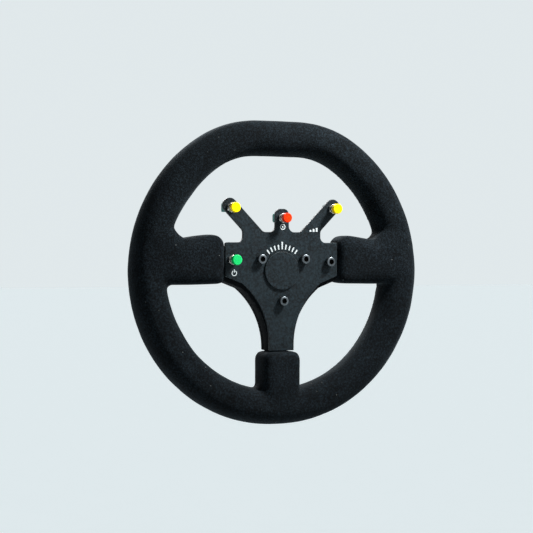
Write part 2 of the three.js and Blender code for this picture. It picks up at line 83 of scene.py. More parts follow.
def place_of(node):
    """Where a node's middle is across the wheel, as x and z."""
    centre = middle(node)
    return centre[X], centre[Z]


def ends(node):
    """A node's front and rear places on the axis."""
    return low(node)[Y], high(node)[Y]


# -------- places read from the frame

X, Y, Z = 0, 1, 2
PLATE_FRONT, PLATE_REAR = ends("front_plate")
PAD_FRONT, PAD_REAR = ends("left_spoke_pad")
RIM_CENTRE = middle("rim_grip")[Y]
GRIP_HALF_DEPTH = (high("rim_grip")[Y] - low("rim_grip")[Y]) / 2
SHOULDER_HALF = high("switch_housing")[X]
BODY_TOP = high("switch_housing")[Z]
LEG_END = low("front_plate")[Z]

# -------- shapes, the same as the frame's

RIM_RADIUS = 127.4
RIM_LIFT = 1.2  # height of the rim's centre over the hub's axis
RIM_TOP = 121.6
RIM_TOP_BLEND = 89
RIM_BOTTOM = 123.5
RIM_BOTTOM_BLEND = 124
GRIP_HALF_WIDTH = 16.5
GRIP_SQUARENESS = 2.3  # exponent of the section's superellipse, 2 being an ellipse
RING_HALF_WIDTH = 8  # the frame's ring inside the grip
LOWER_SPOKE_HALF = 9

SHOULDER_TOP = 27.8
LEG_HALF = 12.2
# lower edges: the height at the shoulder, the waist, and the corner and radius of the leg's hollow side
PLATE_EDGE = (-3, (40, -9.2, 6), -33, 70)
BODY_EDGE = (-7.2, (39.5, -13.8, 7), -37, 70)
ARM_TIP = (52.3, 61)
ARM_HALF = 6.8
MIDDLE_ARM = (6.8, 58.5, 5.4)
CROTCH = (19, 37.3, 5.5)
NOTCH = (39.3, 5.2)

GAP = 0.3  # between parts that rest on each other
BOLT_HOLE = 2.75
SWITCH_HOLE = 3.3
PLATE_HOLE = 10.4
CENTRE_HOLE = 12
SPOKE_BOTTOM = -3
# left, right, bottom, top and corner radius
POCKETS = [(-55.4, -30, 2, 21, 3), (30, 42, 2, 21, 3), (-6, 6, -62, -34, 3)]
WIRE_WINDOW = (-55.5, -43, 7, 17, 2)

SWITCHES = {"left_arm": "yellow", "right_arm": "yellow", "middle_arm": "orange", "side": "green"}
HUB_BOLTS = ["left_hub_bolt", "right_hub_bolt", "lower_hub_bolt"]
BALLS = range(1, 7)


# -------- outlines

def rounded(corners, closed=True, step=0.5):
    """Points along corners (x, z, radius), each rounded by its radius, an arc point about every step."""
    points = []
    count = len(corners)
    for i, corner in enumerate(corners):
        here = Vector(corner[:2])
        radius = corner[2] if len(corner) > 2 else 0
        is_end = not closed and i in (0, count - 1)
        if radius == 0 or is_end:
            points.append(tuple(here))
            continue
        back = (Vector(corners[i - 1][:2]) - here).normalized()
        ahead = (Vector(corners[(i + 1) % count][:2]) - here).normalized()
        half = back.angle(ahead) / 2
        centre = here + (back + ahead).normalized() * radius / math.sin(half)
        start = here + back * radius / math.tan(half) - centre
        sweep = math.pi - 2 * half
        turn = -1 if back.x * ahead.y - back.y * ahead.x > 0 else 1
        steps = max(3, math.ceil(radius * sweep / step))
        for k in range(steps + 1):
            spun = Matrix.Rotation(turn * sweep * k / steps, 2) @ start
            points.append(tuple(centre + spun))
    return points


def mirrored(right):
    """A right-hand half outline, listed from the top down, with its mirror image, anticlockwise."""
    left = [(-c[0], *c[1:]) for c in right]
    return left + right[::-1]


def circle(x, z, radius, count=48):
    turn = 2 * math.pi / count
    return [(x + radius * math.cos(turn * k), z + radius * math.sin(turn * k)) for k in range(count)]


def rectangle(left, right, bottom, top, radius):
    corners = [(left, bottom), (right, bottom), (right, top), (left, top)]
    return rounded([(x, z, radius) for x, z in corners])


def lower_edge(edge):
    shoulder, waist, corner, curve = edge
    return [(SHOULDER_HALF, shoulder, 1), waist, (LEG_HALF, corner, curve), (LEG_HALF, LEG_END, 0.5)]


def body_outline():
    return rounded(mirrored([(SHOULDER_HALF, BODY_TOP, 2), *lower_edge(BODY_EDGE)]))


def plate_outline():
    tip_x, tip_z = ARM_TIP
    end = ARM_HALF * math.sqrt(2)
    slant = tip_x - tip_z + end
    right = [
        MIDDLE_ARM,
        (MIDDLE_ARM[0], CROTCH[1], CROTCH[2]),
        CROTCH,
        (tip_x, tip_z + end, ARM_HALF - 0.05),
        (tip_x + end, tip_z, ARM_HALF - 0.05),
        (NOTCH[0], NOTCH[0] - slant, NOTCH[1]),
        (NOTCH[0], SHOULDER_TOP, NOTCH[1]),
        (SHOULDER_HALF, SHOULDER_TOP, 1.5),
        *lower_edge(PLATE_EDGE),
    ]
    return rounded(mirrored(right))


def rim_line(angle):
    """Centreline point and outward direction of the rim at a polar angle: circle, blends and flats."""
    angle = math.atan2(math.sin(angle), math.cos(angle))
    upper = angle > 0
    flat, blend = (RIM_TOP, RIM_TOP_BLEND) if upper else (RIM_BOTTOM, RIM_BOTTOM_BLEND)
    sign = 1 if upper else -1
    centre_z = flat - blend
    centre_x = math.sqrt((RIM_RADIUS - blend) ** 2 - centre_z ** 2)
    switch = math.atan2(centre_z, centre_x)
    ray = Vector((abs(math.cos(angle)), abs(math.sin(angle))))
    steep = math.atan2(ray.y, ray.x)
    if steep <= switch:
        point = ray * RIM_RADIUS
        out = ray
    elif ray.x * flat < centre_x * ray.y:
        point = ray * flat / ray.y
        out = Vector((0, 1))
    else:
        centre = Vector((centre_x, centre_z))
        along = ray.dot(centre)
        reach = along + math.sqrt(along ** 2 - centre.length_squared + blend ** 2)
        point = ray * reach
        out = (point - centre).normalized()
    side = 1 if math.cos(angle) >= 0 else -1
    return Vector((side * point.x, sign * point.y + RIM_LIFT)), Vector((side * out.x, sign * out.y))


def soften(value):
    return math.copysign(abs(value) ** (2 / GRIP_SQUARENESS), value)


# -------- meshes

def add_object(name, data):
    added = bpy.data.objects.new(name, data)
    bpy.context.scene.collection.objects.link(added)
    return added


def evaluated(piece):
    """A piece as its modifiers and settings make it."""
    bpy.context.view_layer.update()
    return piece.evaluated_get(bpy.context.evaluated_depsgraph_get())


def mark_edges(mesh):
    """Marks the slanting faces that round the edges between the faces along and across the axis."""
    edge = mesh.attributes.new("edge", "FLOAT", "FACE")
    for face in mesh.polygons:
        edge.data[face.index].value = 1 if 0.2 < abs(face.normal.y) < 0.97 else 0


def mark_recess(mesh, x, z, radius, front):
    """Marks the faces inside a screw's socket, where painted shade darkens them."""
    recess = mesh.attributes.new("recess", "FLOAT", "FACE")
    for face in mesh.polygons:
        off = math.hypot(face.center.x - x * MM, face.center.z - z * MM)
        inside = off < radius * MM and face.center.y < front * MM
        recess.data[face.index].value = 1 if inside else 0


def keep_flat(mesh):
    """Stops the rounding beside a face across the axis from bending that face's shading."""
    shape = bmesh.new()
    shape.from_mesh(mesh)
    for edge in shape.edges:
        across = [abs(face.normal.y) > 0.9995 for face in edge.link_faces]
        if any(across) and not all(across):
            edge.smooth = False
    shape.to_mesh(mesh)
    shape.free()


def finish_mesh(name, mesh, finish, body="wheel", sharp=35):
    """Shades the mesh, gives it its material and lets it ride on its body."""
    mesh.shade_smooth()
    mesh.set_sharp_from_angle(angle=math.radians(sharp))
    keep_flat(mesh)
    mark_edges(mesh)
    piece = add_object(name, mesh)
    mesh.materials.clear()
    mesh.materials.append(finish[0])
    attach(piece, body)
    return piece


def weld(mesh, distance):
    """Joins the points that lie together and turns every face outward."""
    shape = bmesh.new()
    shape.from_mesh(mesh)
    bmesh.ops.remove_doubles(shape, verts=shape.verts, dist=distance)
    bmesh.ops.recalc_face_normals(shape, faces=shape.faces)
    shape.to_mesh(mesh)
    shape.free()


def mesh_of(name, points, faces):
    mesh = bpy.data.meshes.new(name)
    mesh.from_pydata([tuple(c * MM for c in p) for p in points], [], faces)
    weld(mesh, 1e-7)
    return mesh


def slab_mesh(name, outer, holes, front, rear, bevel):
    """A plate between two places on the axis, with rounded edges, from its front outline and holes."""
    curve = bpy.data.curves.new(name, "CURVE")
    curve.dimensions = "2D"
    curve.fill_mode = "BOTH"
    for loop in [outer, *holes]:
        spline = curve.splines.new("POLY")
        spline.points.add(len(loop) - 1)
        for point, (x, z) in zip(spline.points, loop):
            point.co = (x * MM, z * MM, 0, 1)
        spline.use_cyclic_u = True
    curve.extrude = ((rear - front) / 2 - bevel) * MM
    curve.bevel_depth = bevel * MM
    curve.bevel_resolution = 2
    curve.offset = -bevel * MM
    holder = add_object(name, curve)
    mesh = bpy.data.meshes.new_from_object(evaluated(holder))
    bpy.data.objects.remove(holder)
    bpy.data.curves.remove(curve)
    upright = Matrix.Translation((0, (front + rear) / 2 * MM, 0)) @ Matrix.Rotation(math.pi / 2, 4, "X")
    mesh.transform(upright)
    weld(mesh, 1e-6)
    mesh.name = name
    return mesh


def slab(name, outer, holes, front, rear, bevel, finish, body="wheel"):
    return finish_mesh(name, slab_mesh(name, outer, holes, front, rear, bevel), finish, body)


def band(first, second, count):
    """Faces between two rings of points, each given by its first point."""
    after = [(k + 1) % count for k in range(count)]
    return [(first + k, first + after[k], second + after[k], second + k) for k in range(count)]


def turned_mesh(name, rings, count=64, x=0, z=0, loop=False):
    """A turned piece. Each ring is (radius, y), and a radius may be a function of the angle."""
    points = []
    for radius, y in rings:
        for k in range(count):
            angle = 2 * math.pi * k / count
            reach = radius(angle) if callable(radius) else radius
            points.append((x + reach * math.cos(angle), y, z + reach * math.sin(angle)))
    faces = []
    for i in range(len(rings) if loop else len(rings) - 1):
        faces += band(i * count, (i + 1) % len(rings) * count, count)
    if not loop:
        faces.append(tuple(range(count)))
        faces.append(tuple(range(len(points) - count, len(points))))
    return mesh_of(name, points, faces)


def turned(name, corners, finish, body="wheel", count=64, x=0, z=0, loop=False):
    """A turned piece whose profile corners (radius, y, rounding) are rounded."""
    rings = rounded(corners, closed=loop, step=0.12)
    return finish_mesh(name, turned_mesh(name, rings, count, x, z, loop), finish, body)


def hexagon(half_width, limit=math.inf):
    """Radius of a hexagon by angle, cut back to a circle of the limit's radius where a chamfer turns it."""
    def radius(angle):
        return min(half_width / math.cos((angle + math.pi / 6) % (math.pi / 3) - math.pi / 6), limit)
    return radius


def bake(piece):
    """Applies a piece's modifiers to its mesh."""
    mesh = bpy.data.meshes.new_from_object(evaluated(piece))
    piece.modifiers.clear()
    piece.data = mesh


# -------- materials

class Nodes:
    """A material's node tree, with short calls to add and link nodes."""

    def __init__(self, name):
        self.material = bpy.data.materials.new(name)
        self.material.use_nodes = True
        self.tree = self.material.node_tree
        self.shader = self.tree.nodes["Principled BSDF"]
        self.place = self.tree.nodes.new("ShaderNodeTexCoord").outputs["Object"]

    def add(self, kind, **values):
        node = self.tree.nodes.new(kind)
        for key, value in values.items():
            setattr(node, key, value)
        return node

    def link(self, source, target):
        self.tree.links.new(source, target)

    def feed(self, socket, source):
        """Drives one of the shader's inputs."""
        self.link(source, self.shader.inputs[socket])

    def attribute(self, name):
        return self.add("ShaderNodeAttribute", attribute_name=name).outputs["Fac"]

    def product(self, first, second):
        node = self.add("ShaderNodeMath", operation="MULTIPLY")
        self.link(first, node.inputs[0])
        self.link(second, node.inputs[1])
        return node.outputs[0]

    def noise(self, scale, detail=4, roughness=0.6, stretch=(1, 1, 1)):
        """Noise whose cells are about 1/scale metres across; stretch squeezes it along an axis."""
        mapping = self.add("ShaderNodeMapping")
        mapping.inputs["Scale"].default_value = stretch
        self.link(self.place, mapping.inputs["Vector"])
        node = self.add("ShaderNodeTexNoise")
        node.inputs["Scale"].default_value = scale
        node.inputs["Detail"].default_value = detail
        node.inputs["Roughness"].default_value = roughness
        self.link(mapping.outputs["Vector"], node.inputs["Vector"])
        return node.outputs["Fac"]

    def ramp(self, source, stops):
        """A colour that runs between two stops, each (source value, colour)."""
        node = self.add("ShaderNodeValToRGB")
        for element, (position, colour) in zip(node.color_ramp.elements, stops):
            element.position = position
            element.color = (*colour, 1)
        self.link(source, node.inputs["Fac"])
        return node.outputs["Color"]

    def span(self, source, start, end, low_value, high_value):
        """A value that runs from low_value to high_value as the source runs from start to end."""
        node = self.add("ShaderNodeMapRange")
        limits = {"From Min": start, "From Max": end, "To Min": low_value, "To Max": high_value}
        for key, value in limits.items():
            node.inputs[key].default_value = value
        self.link(source, node.inputs["Value"])
        return node.outputs["Result"]

    def mix(self, factor, first, second):
        node = self.add("ShaderNodeMix", data_type="RGBA")
        self.link(factor, node.inputs["Factor"])
        for socket, value in ((node.inputs[6], first), (node.inputs[7], second)):
            if isinstance(value, tuple):
                socket.default_value = (*value, 1)
            else:
                self.link(value, socket)
        return node.outputs[2]

    def bump(self, heights):
        """Bumps one on another; heights are (source, depth in millimetres)."""
        normal = None
        for source, depth in heights:
            node = self.add("ShaderNodeBump")
            node.inputs["Strength"].default_value = 1
            node.inputs["Distance"].default_value = depth * MM
            self.link(source, node.inputs["Height"])
            if normal:
                self.link(normal, node.inputs["Normal"])
            normal = node.outputs["Normal"]
        self.feed("Normal", normal)

    def set(self, **values):
        for key, value in values.items():
            self.shader.inputs[key.replace("_", " ")].default_value = value


def edge_wear(nodes):
    """On the small faces that round an edge, from 0 to 1, broken up by noise."""
    broken = nodes.span(nodes.noise(420, 4, 0.7), 0.46, 0.66, 0, 0.8)
    return nodes.product(nodes.attribute("edge"), broken)


def suede():
    """Short dense nap: brushed patches, fine fibre grain, and a few pale specks of lint."""
    nodes = Nodes("suede")
    patches = nodes.noise(45, 4, 0.6, (1, 1.6, 1))
    grain = nodes.noise(640, 6, 0.8)
    fibre = nodes.noise(2600, 3, 0.7, (1, 0.5, 1.7))
    base = nodes.ramp(patches, [(0.3, (0.0008, 0.0011, 0.0013)), (0.7, (0.0018, 0.0024, 0.0028))])
    lighter = nodes.ramp(patches, [(0.3, (0.0056, 0.0088, 0.0118)), (0.7, (0.0112, 0.0176, 0.0232))])
    napped = nodes.mix(nodes.span(grain, 0.46, 0.64, 0, 1), base, lighter)
    cells = nodes.add("ShaderNodeTexVoronoi")
    cells.inputs["Scale"].default_value = 260
    cells.inputs["Randomness"].default_value = 1
    nodes.link(nodes.place, cells.inputs["Vector"])
    dot = nodes.span(cells.outputs["Distance"], 0.05, 0.11, 1, 0)
    rare = nodes.add("ShaderNodeSeparateColor")
    nodes.link(cells.outputs["Color"], rare.inputs["Color"])
    chosen = nodes.span(rare.outputs["Red"], 0.93, 0.97, 0, 0.8)
    lint = nodes.product(dot, chosen)
    nodes.feed("Base Color", nodes.mix(lint, napped, (0.16, 0.17, 0.16)))
    nodes.feed("Roughness", nodes.span(grain, 0.3, 0.7, 0.86, 1.0))
    nodes.set(Sheen_Weight=0.05, Sheen_Roughness=0.4, Sheen_Tint=(0.60, 0.76, 0.88, 1))
    nodes.set(Specular_IOR_Level=0.05)
    nodes.bump([(patches, 0.25), (grain, 0.28), (fibre, 0.10)])
    return nodes.material, "suede"


def anodised(name, dark, light, slot, rough=(0.42, 0.6), worn=(0.30, 0.32, 0.33), metallic=0.25, gloss=0.2):
    """Bead-blasted and anodised metal: fine grain, faint cloudiness, and rubbed edges."""
    nodes = Nodes(name)
    clouds = nodes.noise(38, 4)
    grain = nodes.noise(2200, 4, 0.7)
    scuffs = nodes.noise(70, 6, 0.7, (6, 1, 0.6))
    flecks = nodes.noise(560, 3, 0.8)
    colour = nodes.ramp(flecks, [(0.40, dark), (0.62, light)])
    cloudy = nodes.mix(nodes.span(clouds, 0.35, 0.7, 0, 0.35), colour, light)
    nodes.feed("Base Color", nodes.mix(edge_wear(nodes), cloudy, worn))
    nodes.feed("Roughness", nodes.span(scuffs, 0.3, 0.7, *rough))
    nodes.set(Metallic=metallic, Specular_IOR_Level=gloss)
    nodes.bump([(flecks, 0.07), (grain, 0.03)])
    return nodes.material, slot


def metal(name, colour, slot, rough=(0.2, 0.35), streak=(1, 30, 1), depth=0.01, painted_recess_shade=None):
    """Bright turned or drawn metal with faint tool lines and handling marks, and painted shade in a recess.
    """
    nodes = Nodes(name)
    lines = nodes.noise(160, 4, 0.6, streak)
    marks = nodes.noise(220, 5, 0.65)
    darker = tuple(0.72 * c for c in colour)
    tone = nodes.ramp(marks, [(0.35, darker), (0.62, colour)])
    if painted_recess_shade:
        # painted shade: the marked recess faces take a near-black colour
        tone = nodes.mix(nodes.attribute("recess"), tone, painted_recess_shade)
    nodes.feed("Base Color", tone)
    nodes.feed("Roughness", nodes.span(marks, 0.3, 0.7, *rough))
    nodes.set(Metallic=1.0)
    nodes.bump([(lines, depth), (marks, depth / 2)])
    return nodes.material, slot


def plastic(name, deep, bright, slot, rough=(0.28, 0.42), glow=0.15):
    """Moulded plastic: a little colour depth, faint orange peel and hairline scuffs."""
    nodes = Nodes(name)
    tone = nodes.noise(140, 3)
    peel = nodes.noise(900, 2)
    scuffs = nodes.noise(500, 6, 0.8, (5, 1, 1))
    nodes.feed("Base Color", nodes.ramp(tone, [(0.3, deep), (0.7, bright)]))
    nodes.feed("Roughness", nodes.span(scuffs, 0.35, 0.7, *rough))
    nodes.set(Subsurface_Weight=glow, Subsurface_Radius=(0.6, 0.4, 0.2), Subsurface_Scale=MM)
    nodes.set(Specular_IOR_Level=0.12)
    nodes.bump([(peel, 0.012), (scuffs, 0.006)])
    return nodes.material, slot


def printed():
    """Screen-printed white ink with pinholes where the plate's grain shows through."""
    nodes = Nodes("white_print")
    holes = nodes.span(nodes.noise(2400, 4, 0.75), 0.30, 0.36, 0, 1)
    nodes.feed("Base Color", nodes.mix(holes, (0.12, 0.14, 0.15), (0.38, 0.42, 0.43)))
    nodes.feed("Roughness", nodes.span(nodes.noise(700), 0.3, 0.7, 0.5, 0.7))
    return nodes.material, "anodised_black"


def thread():
    """Dark waxed thread with a fine twist."""
    nodes = Nodes("waxed_thread")
    twist = nodes.noise(3000, 2, 0.5, (1, 3, 1))
    colour = nodes.ramp(twist, [(0.35, (0.002, 0.0024, 0.003)), (0.65, (0.009, 0.011, 0.013))])
    nodes.feed("Base Color", colour)
    nodes.feed("Roughness", nodes.span(twist, 0.3, 0.7, 0.6, 0.8))
    nodes.set(Specular_IOR_Level=0.1)
    nodes.bump([(twist, 0.08)])
    return nodes.material, "suede"


# each finish is a material and the record's slot it stands for
SUEDE = suede()
THREAD_BLACK = thread()
DARK_COATING = {"dark": (0.003, 0.0035, 0.004), "light": (0.007, 0.008, 0.009), "rough": (0.6, 0.8),
                "worn": (0.03, 0.033, 0.035), "metallic": 0, "gloss": 0.02}
PLATE_BLACK = anodised("plate_black", (0.0004, 0.0010, 0.0014), (0.0086, 0.0162, 0.0212), "anodised_black",
                       worn=(0.05, 0.06, 0.065))
HOUSING_BLACK = anodised("housing_black", slot="housing_black", **DARK_COATING)
FRAME_BLACK = anodised("frame_black", slot="frame_black", **DARK_COATING)
COLLAR_BLACK = anodised("collar_black", (0.012, 0.013, 0.015), (0.028, 0.031, 0.034), "anodised_black",
                        rough=(0.3, 0.45), worn=(0.4, 0.41, 0.42))
ALUMINIUM = metal("satin_aluminium", (0.46, 0.47, 0.48), "frame_aluminium", (0.34, 0.5), (1, 1, 14), 0.02)
# the colour given for the screw sockets' recess is painted shade
SCREW_BLACK = metal("black_oxide", (0.14, 0.16, 0.175), "black_steel", (0.3, 0.45), (1, 8, 1),
                    painted_recess_shade=(0.004, 0.004, 0.004))
STEEL = metal("bright_steel", (0.55, 0.55, 0.56), "spring_steel")
NICKEL = metal("nickel_plate", (0.62, 0.60, 0.56), "nickel", (0.22, 0.38))
GOLD = metal("gold_plate", (0.83, 0.60, 0.22), "gold_contacts")
TEAL = plastic("teal_plastic", (0.055, 0.20, 0.175), (0.085, 0.30, 0.265), "teal_plastic",
               rough=(0.45, 0.6), glow=0.05)
INSERT = plastic("insert_plastic", (0.012, 0.012, 0.013), (0.03, 0.03, 0.032), "insert_plastic",
                 rough=(0.45, 0.6), glow=0)
BUTTON_PLASTICS = {
    "yellow": plastic("yellow_plastic", (0.76, 0.51, 0.0), (0.88, 0.65, 0.0), "yellow_plastic"),
    "orange": plastic("orange_plastic", (0.56, 0.016, 0.0), (0.70, 0.038, 0.0), "orange_plastic"),
    "green": plastic("green_plastic", (0.006, 0.38, 0.09), (0.016, 0.54, 0.16), "green_plastic"),
}
PRINT = printed()


# -------- suede grip

QUICK_VOXEL = 3.0
FINE_VOXEL = 2.2
BLEND_ROUNDS = 5  # rounds of smoothing, which blend the pads into the rim
SWELL = 1.1  # how far the cloth may move outward
SWELL_FRAMES = 14
UNDER = 0.25  # the simulated shape starts this much smaller
SIDE_PAD_ROUNDING = 7
LOWER_PAD_ROUNDING = 6
LUMP_SIZE = 22
LUMP_HEIGHT = 0.5


def rim_tube(name, shrink):
    """The rim's padding as a closed tube along its line."""
    around = 240
    sides = 48
    points = []
    for i in range(around):
        point, out = rim_line(2 * math.pi * i / around)
        for j in range(sides):
            angle = 2 * math.pi * j / sides
            reach = (GRIP_HALF_WIDTH - shrink) * soften(math.cos(angle))
            y = RIM_CENTRE + (GRIP_HALF_DEPTH - shrink) * soften(math.sin(angle))
            points.append((point.x + out.x * reach, y, point.y + out.y * reach))
    faces = []
    for i in range(around):
        faces += band(i * sides, (i + 1) % around * sides, sides)
    return mesh_of(name, points, faces)


def side_pad_outline(side, shrink):
    """The pad bulges near the plate, dips towards the rim, and meets the rim's upper side in a fillet."""
    inner = high("switch_housing")[X] + 0.5 + shrink
    top = high("left_spoke_pad")[Z] - shrink
    bottom = low("left_spoke_pad")[Z] + shrink
    reach = RIM_RADIUS
    corners = [
        (inner, bottom, 5),
        (reach, bottom, 0),
        (reach, top + 12, 0),
        (110, top + 10, 0),
        (98, top - 2.0, 9),
        (88, top - 2.0, 24),
        (70, top + 1.0, 18),
        (inner, top + 0.4, 10.5),
    ]
    return rounded([(side * x, z, radius) for x, z, radius in corners])


def lower_pad_outline(shrink):
    half = high("lower_spoke_pad")[X] - shrink
    top = high("lower_spoke_pad")[Z] - shrink
    end = -RIM_BOTTOM
    return rounded([(-half, top, 6.5), (-half, end, 0), (half, end, 0), (half, top, 6.5)])


def remeshed(piece, voxel):
    """Makes the piece one skin of even faces, and blends the creases where its parts met."""
    remesh = piece.modifiers.new("even", "REMESH")
    remesh.mode = "VOXEL"
    remesh.voxel_size = voxel * MM
    bake(piece)
    smooth = piece.modifiers.new("blend", "SMOOTH")
    smooth.factor = 0.5
    smooth.iterations = BLEND_ROUNDS
    bake(piece)


def positions(mesh):
    flat = np.empty(3 * len(mesh.vertices))
    mesh.vertices.foreach_get("co", flat)
    return flat.reshape(-1, 3)


def swell(piece):
    """Blows the closed cover out a little with cloth under pressure, so that its flat stretches crown."""
    scene = bpy.context.scene
    before = positions(piece.data)
    cloth = piece.modifiers.new("cover", "CLOTH")
    cloth.settings.quality = 5
    cloth.settings.mass = 0.3
    cloth.settings.use_pressure = True
    cloth.settings.uniform_pressure_force = 4
    cloth.settings.effector_weights.gravity = 0
    cloth.point_cache.frame_start = 1
    cloth.point_cache.frame_end = SWELL_FRAMES
    for number in range(1, SWELL_FRAMES + 1):
        scene.frame_set(number)
    after = positions(evaluated(piece).to_mesh())
    piece.modifiers.clear()
    scene.frame_set(1)
    travel = after - before
    length = np.linalg.norm(travel, axis=1, keepdims=True)
    travel *= np.minimum(1, SWELL * MM / np.maximum(length, 1e-9))
    piece.data.vertices.foreach_set("co", (before + travel).ravel())
    piece.data.update()


def suede_grip():
    """Rim and pads under one continuous suede cover."""
    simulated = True
    shrink = UNDER if simulated else 0
    depth = (PAD_FRONT + shrink, PAD_REAR - shrink)
    parts = [rim_tube("rim", shrink)]
    for side in (-1, 1):
        parts.append(slab_mesh("pad", side_pad_outline(side, shrink), [], *depth, SIDE_PAD_ROUNDING))
    parts.append(slab_mesh("pad", lower_pad_outline(shrink), [], *depth, LOWER_PAD_ROUNDING))
    joined = bmesh.new()
    for part in parts:
        joined.from_mesh(part)
    mesh = bpy.data.meshes.new("suede_grip")
    joined.to_mesh(mesh)
    joined.free()
    piece = add_object("suede_grip", mesh)
    remeshed(piece, FINE_VOXEL if simulated else QUICK_VOXEL)
    if simulated:
        swell(piece)
    lumps = bpy.data.textures.new("padding_lumps", "CLOUDS")
    lumps.noise_scale = LUMP_SIZE * MM
    uneven = piece.modifiers.new("uneven", "DISPLACE")
    uneven.texture = lumps
    uneven.strength = LUMP_HEIGHT * MM
    uneven.mid_level = 0.5
    finer = piece.modifiers.new("finer", "SUBSURF")
    finer.levels = 1
    finer.render_levels = 1
    bake(piece)
    piece.data.shade_smooth()
    piece.data.materials.clear()
    piece.data.materials.append(SUEDE[0])
    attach(piece, "wheel")
    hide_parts("rim_grip", "left_spoke_pad", "right_spoke_pad", "lower_spoke_pad")
    return piece


# -------- stitching on the inner side of the rim

SEAM_TILT = math.radians(42)  # how far behind the inner edge the seam lies
SEAM_CORD = 0.45  # radius of the ridge under the stitches
SEAM_LIFT = 0.05
STITCH_PITCH = 4.2
STITCH_HALF = 1.5  # half of what a stitch reaches across the seam
STITCH_ARCH = 0.42
STITCH_SINK = 0.12  # how deep a stitch's ends go into the suede
STITCH_POINTS = 5
THREAD = 0.32
TUBE_END = 0.45  # radius of a tube's end rings, as a share of its own
PROBE = 30  # how far from the rim's centreline the search for its surface starts
FREE_STRETCHES = [(24, 156), (188, 257), (283, 352)]  # polar angles, in degrees, between the pads


def surface_frame(tree, angle):
    """Point on the grip's surface where the seam runs, with the seam's direction and the outward normal."""
    point, out = rim_line(angle)
    centre = Vector((point.x, RIM_CENTRE, point.y)) * MM
    inward = Vector((-out.x, 0, -out.y)) * math.cos(SEAM_TILT)
    aim = (inward + Vector((0, 1, 0)) * math.sin(SEAM_TILT)).normalized()
    hit, normal, _, _ = tree.ray_cast(centre + aim * PROBE * MM, -aim)
    along = Vector((-out.y, 0, out.x)).normalized()
    return hit, along, normal


def tube(points, faces, path, normals, radius, sides=6):
    """Adds a closed round tube along path to the points and faces."""
    first = len(points)
    for i, place in enumerate(path):
        ahead = path[min(i + 1, len(path) - 1)] - path[max(i - 1, 0)]
        side = ahead.normalized().cross(normals[i])
        end = TUBE_END if i in (0, len(path) - 1) else 1
        for k in range(sides):
            turn = 2 * math.pi * k / sides
            offset = (side * math.cos(turn) + normals[i] * math.sin(turn)) * radius * end * MM
            points.append(tuple((place + offset) / MM))
    for i in range(len(path) - 1):
        faces += band(first + i * sides, first + (i + 1) * sides, sides)
    faces.append(tuple(range(first, first + sides)))
    faces.append(tuple(range(len(points) - sides, len(points))))


def stitch_path(hit, along, normal, lean):
    """One slanting stitch over the seam, with its ends sunk in the suede."""
    across = along.cross(normal).normalized()
    path = []
    for k in range(STITCH_POINTS):
        share = 2 * k / (STITCH_POINTS - 1) - 1
        arch = STITCH_ARCH * (1 - share ** 2) - STITCH_SINK
        path.append(hit + (across * share * STITCH_HALF + along * share * lean + normal * arch) * MM)
    return path


def stitching(grip):
    """A zigzag of stitches over a low seam, along the rim's free stretches."""
    bpy.context.view_layer.update()
    tree = BVHTree.FromObject(grip, bpy.context.evaluated_depsgraph_get())
    thread_points, thread_faces = [], []
    seam_points, seam_faces = [], []
    for start, end in FREE_STRETCHES:
        length = math.radians(end - start) * (RIM_RADIUS - GRIP_HALF_WIDTH)
        count = round(length / STITCH_PITCH)
        angles = [math.radians(start + (end - start) * i / count) for i in range(count + 1)]
        spots = [surface_frame(tree, angle) for angle in angles]
        seam_path = [hit + normal * SEAM_LIFT * MM for hit, _, normal in spots]
        tube(seam_points, seam_faces, seam_path, [spot[2] for spot in spots], SEAM_CORD)
        for i, (hit, along, normal) in enumerate(spots[1:-1]):
            lean = (1 if i % 2 else -1) * STITCH_PITCH / 2
            path = stitch_path(hit, along, normal, lean)
            tube(thread_points, thread_faces, path, [normal] * STITCH_POINTS, THREAD)
    finish_mesh("rim_stitches", mesh_of("rim_stitches", thread_points, thread_faces), THREAD_BLACK)
    finish_mesh("rim_seam", mesh_of("rim_seam", seam_points, seam_faces), THREAD_BLACK)


# -------- plate, housing, frame and cap

CAP_PEG = 6.8  # radius of the cap's peg in the plate's hole
CAP_POINTS = 128
TIP = 0.02  # radius of the ring where a turned piece closes on its axis


def bolt_holes(*others):
    return [circle(*place_of(bolt), BOLT_HOLE) for bolt in [*HUB_BOLTS, *others]]


def front_plate():
    holes = bolt_holes("plate_screw") + [circle(0, 0, PLATE_HOLE)]
    holes += [circle(*place_of(f"{name}_button_cap"), SWITCH_HOLE) for name in SWITCHES]
    plate = slab("button_plate", plate_outline(), holes, PLATE_FRONT, PLATE_REAR, 0.3, PLATE_BLACK)
    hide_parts("front_plate")


def housing():
    holes = bolt_holes("plate_screw") + [circle(0, 0, CENTRE_HOLE)]
    holes += [rectangle(*pocket) for pocket in POCKETS]
    tray = slab("housing", body_outline(), holes, *ends("switch_housing"), 0.5, HOUSING_BLACK)
    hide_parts("switch_housing")


def spokes():
    """The frame's middle and its three spokes up to the ring inside the grip, which never shows."""
    reach = RIM_RADIUS - RING_HALF_WIDTH
    right = [
        (reach, BODY_TOP, 0.5),
        (reach, SPOKE_BOTTOM, 0.5),
        (SHOULDER_HALF, SPOKE_BOTTOM, 0.5),
        *lower_edge(BODY_EDGE)[:3],
        (LEG_HALF, LEG_END, 1),
        (LOWER_SPOKE_HALF, LEG_END, 1),
        (LOWER_SPOKE_HALF, -reach + 5, 0.5),
    ]
    holes = bolt_holes() + [circle(0, 0, CENTRE_HOLE), rectangle(*WIRE_WINDOW)]
    plate = slab("spoke_plate", rounded(mirrored(right)), holes, *ends("spoke_frame"), 0.4, FRAME_BLACK)
    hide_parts("spoke_frame")


